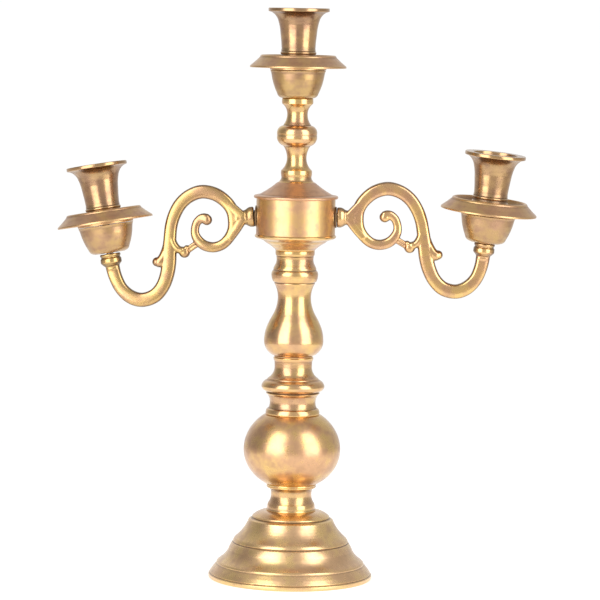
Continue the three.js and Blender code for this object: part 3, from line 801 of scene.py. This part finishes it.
# Lumps of the casting: x, z and radius.
BUD = (51.2, -20.4, 3.9)
BUDLET = (49.4, -17.4, 2.0)
CURL_TIP = (71.2, -25.2, 3.3)
EYE = (33.4, 0.8, 3.8)
TIE_ENDS = ((41.0, -14.6), (49.3, -19.3))
TIE_SPREAD = 1.2
TIE_HALF_WIDTH = 0.95
ARM_END = Vector((103.6, 0, -16.4))
# What the smoothing takes off a bar's half width.
SMOOTHING_LOSS = 0.25
# Half the thickness from which the casting is filed, how much stays of what stands out further, and how far
# the turned ends at the stud and the cup reach, which are not filed.
FILED_Y = 3.2
CROWN = 0.6
NECK_REACH = 6.0
COLLAR_REACH = 12.0
# The neck is not as deep, front to back, as it is high.
NECK_DEPTH = 0.8
# Where the casting's wear, grime and painted shade start, and over how much more they grow to full: wear,
# and grime with painted shade in creases, with the curve of the surface, and painted shade on the sides as
# the surface turns away from the front and the back.
RIDGE_WEAR = (0.12, 0.3)
CREASE_GRIME_AND_SHADE = (0.02, 0.25)
SIDEWAYS_SHADE = (-0.80, 0.3)
SIDE_PAINTED_SHADE = 0.9
# The stud, from the flange face: its thread, how far and with what radius it is held in the arm, and how far
# it reaches into the hub beyond the boss, to take its nut.
THREAD_START = -7.5
THREAD_END = -0.3
THREAD_RUN_OUT = 0.1
HELD_DEPTH = 10.0
HELD_R = 3.0
NUT_REACH = 8.5
WASHER_GAP = 0.1

NECK = [
    (0, 0), (6.8, 0), (7.1, 0.4), (7.1, 2.7), (6.3, 4.6), (5.1, 6.6, -0.15), (5.0, 7.6, -0.05),
    (5.4, 9.4), (5.4, 12.5), (0, 12.5),
]
END_COLLAR = [
    (0, -9.2), (5.0, -8.6), (6.2, -7.4, 0.2), (7.3, -4.9, 0.6), (6.5, -2.7, 0.5), (6.4, -2.2),
    (7.1, -1.7), (7.3, -0.4, 0.1), (7.1, 0), (0, 0),
]


def catmull_rom(points, per_span):
    """A smooth line through the points."""
    p = np.array(points, float)
    p = np.vstack([2 * p[0] - p[1], p, 2 * p[-1] - p[-2]])
    t = np.linspace(0, 1, per_span, endpoint=False)[:, None]
    spans = []
    for a, b, c, d in zip(p, p[1:], p[2:], p[3:]):
        cubic = 3 * b - a - 3 * c + d
        square = 2 * a - 5 * b + 4 * c - d
        spans.append(0.5 * (2 * b + (c - a) * t + square * t**2 + cubic * t**3))
    return np.vstack([*spans, p[-2:-1]])


def bar(points, power=2.0, flatness=1.0, sides=32, per_span=8):
    """A bar along a line of (x, z, half width) points. The power says how square its section is."""
    line = catmull_rom(points, per_span) + np.array([0, 0, SMOOTHING_LOSS])
    tangent = np.gradient(line[:, :2], axis=0)
    tangent /= np.linalg.norm(tangent, axis=1)[:, None]
    angles = np.arange(sides) * 2 * math.pi / sides
    round_off = (np.abs(np.cos(angles)) ** power + np.abs(np.sin(angles)) ** power) ** (-1 / power)
    across = round_off * np.cos(angles) * line[:, 2:]
    depth = round_off * np.sin(angles) * line[:, 2:] * flatness
    x = line[:, :1] + across * tangent[:, 1:]
    z = line[:, 1:2] - across * tangent[:, :1]
    vertices = np.stack([x, depth, z], axis=-1).reshape(-1, 3)
    faces = []
    for i in range(len(line) - 1):
        for j in range(sides):
            k = (j + 1) % sides
            faces.append((i * sides + j, i * sides + k, (i + 1) * sides + k, (i + 1) * sides + j))
    faces.append(tuple(range(sides))[::-1])
    faces.append(tuple(range((len(line) - 1) * sides, len(line) * sides)))
    obj = new_object("bar", vertices, faces)
    bm = bmesh.new()
    bm.from_mesh(obj.data)
    bmesh.ops.recalc_face_normals(bm, faces=bm.faces)
    bm.to_mesh(obj.data)
    bm.free()
    return obj


def lump(x, z, radius, depth=1.0):
    """A ball of the casting. A depth below 1 flattens it front to back."""
    bpy.ops.mesh.primitive_uv_sphere_add(segments=32, ring_count=20, radius=radius * MM)
    ball = bpy.context.object
    ball.data.transform(Matrix.Diagonal((1, depth, 1, 1)))
    return placed(ball, Matrix.Translation((x, 0, z)))


def tie_bars():
    """Two thin bars side by side from the spiral to the bud."""
    (x0, z0), (x1, z1) = TIE_ENDS
    length = math.hypot(x1 - x0, z1 - z0)
    side_x, side_z = (z1 - z0) / length, (x0 - x1) / length
    bars = []
    for offset in (-TIE_SPREAD, TIE_SPREAD):
        ends = [(x + offset * side_x, z + offset * side_z, TIE_HALF_WIDTH) for x, z in TIE_ENDS]
        bars.append(bar(ends, flatness=1.4, per_span=6))
    return bars


def grown(values, start, reach):
    """0 up to start, growing to 1 over the reach."""
    return np.clip((values - start) / reach, 0, 1)


def casting_marks(obj):
    """Wear on the casting's ridges, from how the surface curves, grime with painted shade in its creases,
    and painted shade on the edges that face sideways, away from the front and the back."""
    mesh = obj.data
    count = len(mesh.vertices)
    co = np.empty(count * 3)
    normals = np.empty(count * 3)
    mesh.vertices.foreach_get("co", co)
    mesh.vertices.foreach_get("normal", normals)
    co, normals = co.reshape(-1, 3) / MM, normals.reshape(-1, 3)
    edges = np.empty(len(mesh.edges) * 2, int)
    mesh.edges.foreach_get("vertices", edges)
    a, b = edges.reshape(-1, 2).T

    def average(values):
        total = np.zeros_like(values)
        np.add.at(total, a, values[b])
        np.add.at(total, b, values[a])
        shape = (-1,) + (1,) * (values.ndim - 1)
        return total / degree.reshape(shape)

    degree = np.bincount(np.concatenate([a, b]), minlength=count).astype(float)
    convex = ((co - average(co)) * normals).sum(1) / VOXEL**2
    for _ in range(3):
        convex = 0.5 * convex + 0.5 * average(convex)
    # Painted shade: the sides that turn away from the front and the back are darkened, as dark outlines.
    side_shade = grown(-np.abs(normals[:, 1]), *SIDEWAYS_SHADE)
    wear = grown(convex, *RIDGE_WEAR) * (1 - side_shade)
    grime_and_shade = np.maximum(grown(-convex, *CREASE_GRIME_AND_SHADE), SIDE_PAINTED_SHADE * side_shade)
    set_marks(mesh, np.zeros(count), wear, grime_and_shade)
    return obj


def filed(arm):
    """Files the casting's front and back flatter, but for its turned ends."""
    for vertex in arm.data.vertices:
        x, y, z = vertex.co / MM
        from_end = math.hypot(x - ARM_END.x, z - ARM_END.z)
        limit = FILED_Y + max(0, NECK_REACH - x, COLLAR_REACH - from_end)
        if abs(y) > limit:
            vertex.co.y = math.copysign(limit + CROWN * (abs(y) - limit), y) * MM


def arm_casting(name, lean):
    """The whole arm as one casting: its parts are fused, and their junctions filleted by smoothing."""
    turn = Matrix.Rotation(math.pi / 2, 4, "Y")
    at_end = Matrix.Translation(ARM_END) @ Matrix.Rotation(math.radians(lean), 4, "Y")
    parts = [
        bar(SCROLL, power=2.7, flatness=0.84),
        bar(UPPER_WEB, power=3.6, flatness=1.3),
        bar(LOWER_WEB, power=3.6, flatness=1.3),
        bar(FORK, power=3.6, flatness=0.75),
        bar(BUD_STRAND, flatness=1.55),
        bar(CURL_STRAND, flatness=1.15),
        lump(*BUD),
        lump(*BUDLET, 1.5),
        lump(*CURL_TIP),
        lump(*EYE, 0.95),
        *tie_bars(),
        placed(turned("neck", NECK, SMALL_SIDES), Matrix.Diagonal((1, NECK_DEPTH, 1, 1)) @ turn),
        placed(turned("collar", END_COLLAR, SMALL_SIDES), at_end),
    ]
    bpy.ops.object.select_all(action="DESELECT")
    for part in parts:
        part.select_set(True)
    bpy.context.view_layer.objects.active = parts[0]
    bpy.ops.object.join()
    arm = parts[0]
    arm.name = name
    remesh = arm.modifiers.new("fused", "REMESH")
    remesh.mode = "VOXEL"
    remesh.voxel_size = VOXEL * MM
    filed(applied(arm))
    smooth = arm.modifiers.new("fillets", "SMOOTH")
    smooth.factor = 0.5
    smooth.iterations = FILLET_PASSES
    applied(arm)
    arm.data.shade_smooth()
    return casting_marks(arm)


def arm_matrix(side):
    """From the arm's frame, at its flange face, to the row frame, in millimetres."""
    place = ARMS[side]
    joint = next(j for j in frame["joints"] if j["name"] == f"{side}_arm_turn")
    along = Vector(joint["axis"]).normalized()
    across = Vector((0, 0, 1)).cross(along).normalized()
    up = along.cross(across)
    upright = Matrix((along, across, up)).transposed().to_4x4()
    turn = Matrix.Rotation(math.radians(place["turn"]), 4, "X")
    pivot = Matrix.Translation(Vector(joint["pos_m"]) / MM)
    return pivot @ upright @ turn @ Matrix.Translation((place["seat"] - PIVOT_X, 0, 0))


def arm_stud(name, seat):
    """Threaded stud, stepped down where it is held in the arm, along the arm's X from its flange face."""
    inner_end = BOSS_X - NUT_REACH - seat
    thread = thread_radius(STUD_R, THREAD_PITCH, THREAD_DEPTH)
    threaded = np.arange(THREAD_START, THREAD_END, THREAD_PITCH / THREAD_STEPS)
    steps = (THREAD_START - THREAD_RUN_OUT, THREAD_END + THREAD_RUN_OUT / 2)
    levels = [inner_end, steps[0], *threaded, steps[1], HELD_DEPTH]

    def radius(z, angle):
        if z < THREAD_START:
            return STUD_R - THREAD_DEPTH / 2
        return HELD_R if z > THREAD_END else thread(z, angle)

    stud = polar(name, radius, levels, SMALL_SIDES, AXIS_HOLE_R)
    return placed(stud, Matrix.Rotation(math.pi / 2, 4, "Y"))


def build_arm(side):
    place = ARMS[side]
    body = f"{side}_arm_body"
    matrix = arm_matrix(side)
    arm = placed(arm_casting(f"{side}_arm_casting", place["cup_lean"]), matrix)
    finish(arm, f"{side}_arm", body, ARM_BRASS[side])
    stud = placed(arm_stud(f"{side}_arm_stud_threaded", place["seat"]), matrix)
    finish(stud, f"{side}_arm_stud", body, DARK_BRASS_AND_GAP_SHADE)

    lean = Matrix.Rotation(math.radians(place["cup_lean"]), 4, "Y")
    gap = Matrix.Translation((0, 0, CUP_GAP))
    build_cup(side, body, matrix @ Matrix.Translation(ARM_END) @ lean @ gap)

    face = SPOT_FACE_X + WASHER_GAP
    ring = washer_outline(WASHER_R, STUD_HOLE_R, face, face + place["washer"])
    washer = placed(turned(f"{side}_arm_washer_turned", ring, SMALL_SIDES), along_hole(place))
    finish(washer, f"{side}_arm_washer", "stand", DARK_BRASS_AND_GAP_SHADE)


# ---- frame, stage, light and camera ---------------------------------------------------------------


def finish(obj, node, body, material):
    """Dresses a piece, stands it for its CAD node and lets it ride on its body."""
    obj.data.materials.clear()
    obj.data.materials.append(material)
    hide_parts(node)
    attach(obj, body)


def dress_hidden_nodes(shown):
    """The CAD nodes that stay, the nuts inside the hub, get their steel."""
    for name, node in frame["nodes"].items():
        if name in shown:
            node.data.materials.clear()
            node.data.materials.append(STEEL)


# The floor and the backdrop: radii in metres, colours and glow.
FLOOR_R = 0.7
FLOOR_LIGHT = (0.80, 0.80, 0.80, 1)
FLOOR_DARK = (0.76, 0.76, 0.76, 1)
FLOOR_GLOW = 0.46
BACKDROP_R = 14
BACKDROP_GLOW = 1.02
WHITE = (1, 1, 1, 1)
BLACK = (0, 0, 0, 1)


def build_stage():
    """A round white table top, and a plain white backdrop all round that only the camera sees."""
    bpy.ops.mesh.primitive_circle_add(vertices=96, radius=FLOOR_R, fill_type="NGON")
    floor = bpy.context.object
    floor.name = "floor"
    s = Shader("pale_floor")
    colour = s.mix(FLOOR_LIGHT, FLOOR_DARK, s.noise(40, detail=2))
    s.feed(s.surface.inputs["Base Color"], colour)
    s.surface.inputs["Roughness"].default_value = 0.9
    s.surface.inputs["Emission Color"].default_value = WHITE
    s.surface.inputs["Emission Strength"].default_value = FLOOR_GLOW
    floor.data.materials.append(s.material)

    bpy.ops.mesh.primitive_uv_sphere_add(segments=48, ring_count=24, radius=BACKDROP_R)
    backdrop = bpy.context.object
    backdrop.name = "backdrop"
    for kind in ("diffuse", "glossy", "transmission", "shadow", "volume_scatter"):
        setattr(backdrop, f"visible_{kind}", False)
    s = Shader("white_backdrop")
    s.surface.inputs["Base Color"].default_value = BLACK
    s.surface.inputs["Specular IOR Level"].default_value = 0
    s.surface.inputs["Emission Color"].default_value = WHITE
    s.surface.inputs["Emission Strength"].default_value = BACKDROP_GLOW
    backdrop.data.materials.append(s.material)


# The studio round the candelabra: how bright it is by azimuth, in degrees from the front, positive to the
# right, then overhead and below. The two softboxes stand in front of it.
ROOM = [
    (-180, 0.90), (-150, 0.85), (-125, 0.50), (-95, 0.34), (-70, 0.40), (-18, 0.70), (30, 0.70), (75, 0.52),
    (105, 0.58), (130, 0.62), (160, 0.75), (180, 0.90),
]
OVERHEAD = (0.62, 0.62, 0.62, 1)
BELOW = (0.76, 0.70, 0.66, 1)
# How far a direction rises, as the Z of a unit vector, where these two blend into the room.
HORIZON = (-0.12, 0.0)
CEILING = (0.55, 0.85)
# Upright soft lights: azimuth as in ROOM, distance, width and height in metres, and radiance.
SOFTBOXES = {
    "left_softbox": {"azimuth": -40, "distance": 0.95, "width": 0.72, "height": 1.4, "radiance": 3.2},
    "right_softbox": {"azimuth": 50, "distance": 0.95, "width": 0.62, "height": 1.4, "radiance": 3.1},
}
SOFTBOX_LIFT = 0.01
# The camera: place in metres, lens and sensor width in millimetres, angles in degrees.
CAMERA_PLACE = (0, -2.2, 0.4)
CAMERA_LENS = 189.35
SENSOR_WIDTH = 36
CAMERA_PITCH = -5.286
CAMERA_YAW = -0.103
CAMERA_ROLL = 0.96
CAMERA_CLIP = (0.1, 60)


def build_world():
    world = bpy.data.worlds.new("studio")
    bpy.context.scene.world = world
    world.use_nodes = True
    tree = world.node_tree

    def add(kind, settings=None):
        node = tree.nodes.new("ShaderNode" + kind)
        for key, value in (settings or {}).items():
            setattr(node, key, value)
        return node

    direction = add("SeparateXYZ")
    tree.links.new(add("TexCoord").outputs["Generated"], direction.inputs[0])
    forwards = add("Math", {"operation": "MULTIPLY"})
    tree.links.new(direction.outputs["Y"], forwards.inputs[0])
    forwards.inputs[1].default_value = -1
    azimuth = add("Math", {"operation": "ARCTAN2"})
    tree.links.new(direction.outputs["X"], azimuth.inputs[0])
    tree.links.new(forwards.outputs[0], azimuth.inputs[1])
    share = add("MapRange")
    tree.links.new(azimuth.outputs[0], share.inputs["Value"])
    share.inputs["From Min"].default_value = -math.pi
    share.inputs["From Max"].default_value = math.pi
    around = add("ValToRGB")
    tree.links.new(share.outputs[0], around.inputs[0])
    stops = around.color_ramp.elements
    while len(stops) < len(ROOM):
        stops.new(0.5)
    for stop, (degrees, brightness) in zip(stops, ROOM):
        stop.position = (degrees + 180) / 360
        stop.color = (brightness, brightness, brightness, 1)

    def blend(start, end, first, second):
        """Goes from the first colour to the second as the height of the direction goes from start to end."""
        rise = add("MapRange", {"interpolation_type": "SMOOTHSTEP"})
        tree.links.new(direction.outputs["Z"], rise.inputs["Value"])
        rise.inputs["From Min"].default_value = start
        rise.inputs["From Max"].default_value = end
        mix = add("Mix", {"data_type": "RGBA"})
        tree.links.new(rise.outputs[0], mix.inputs[0])
        for socket, colour in ((mix.inputs[6], first), (mix.inputs[7], second)):
            if isinstance(colour, bpy.types.NodeSocket):
                tree.links.new(colour, socket)
            else:
                socket.default_value = colour
        return mix.outputs[2]

    level = blend(*HORIZON, BELOW, around.outputs[0])
    tree.links.new(blend(*CEILING, level, OVERHEAD), tree.nodes["Background"].inputs["Color"])


def softbox(name, azimuth, distance, width, height, radiance):
    """An upright soft light that stands on the table and faces the candelabra, placed as in ROOM."""
    light = bpy.data.lights.new(name, "AREA")
    light.shape = "RECTANGLE"
    light.size, light.size_y = width, height
    light.energy = radiance * width * height * math.pi
    lamp = bpy.data.objects.new(name, light)
    lamp.visible_camera = False
    bpy.context.scene.collection.objects.link(lamp)
    a = math.radians(azimuth)
    away = Vector((math.sin(a), -math.cos(a), 0))
    lamp.location = away * distance + Vector((0, 0, height / 2 + SOFTBOX_LIFT))
    lamp.rotation_euler = away.to_track_quat("Z", "Y").to_euler()


def build_camera():
    """Level with the top of the candelabra and far off, looking slightly down."""
    camera = bpy.data.cameras.new("camera")
    camera.sensor_width = SENSOR_WIDTH
    camera.lens = CAMERA_LENS
    camera.clip_start, camera.clip_end = CAMERA_CLIP
    obj = bpy.data.objects.new("camera", camera)
    bpy.context.scene.collection.objects.link(obj)
    heading = Matrix.Rotation(math.radians(CAMERA_YAW), 4, "Z")
    tilt = Matrix.Rotation(math.radians(90 + CAMERA_PITCH), 4, "X")
    roll = Matrix.Rotation(math.radians(CAMERA_ROLL), 4, "Z")
    obj.matrix_world = Matrix.Translation(CAMERA_PLACE) @ heading @ tilt @ roll
    bpy.context.scene.camera = obj


build_column()
build_rod_and_nut()
build_cup("top", "stand", Matrix.Translation((0, 0, STEM_TOP)))
for arm_side in ARMS:
    build_arm(arm_side)
dress_hidden_nodes({"hub_nut", "left_arm_nut", "right_arm_nut"})
build_stage()
build_world()
for softbox_name, settings in SOFTBOXES.items():
    softbox(softbox_name, **settings)
build_camera()
bpy.context.scene.view_settings.view_transform = "Standard"
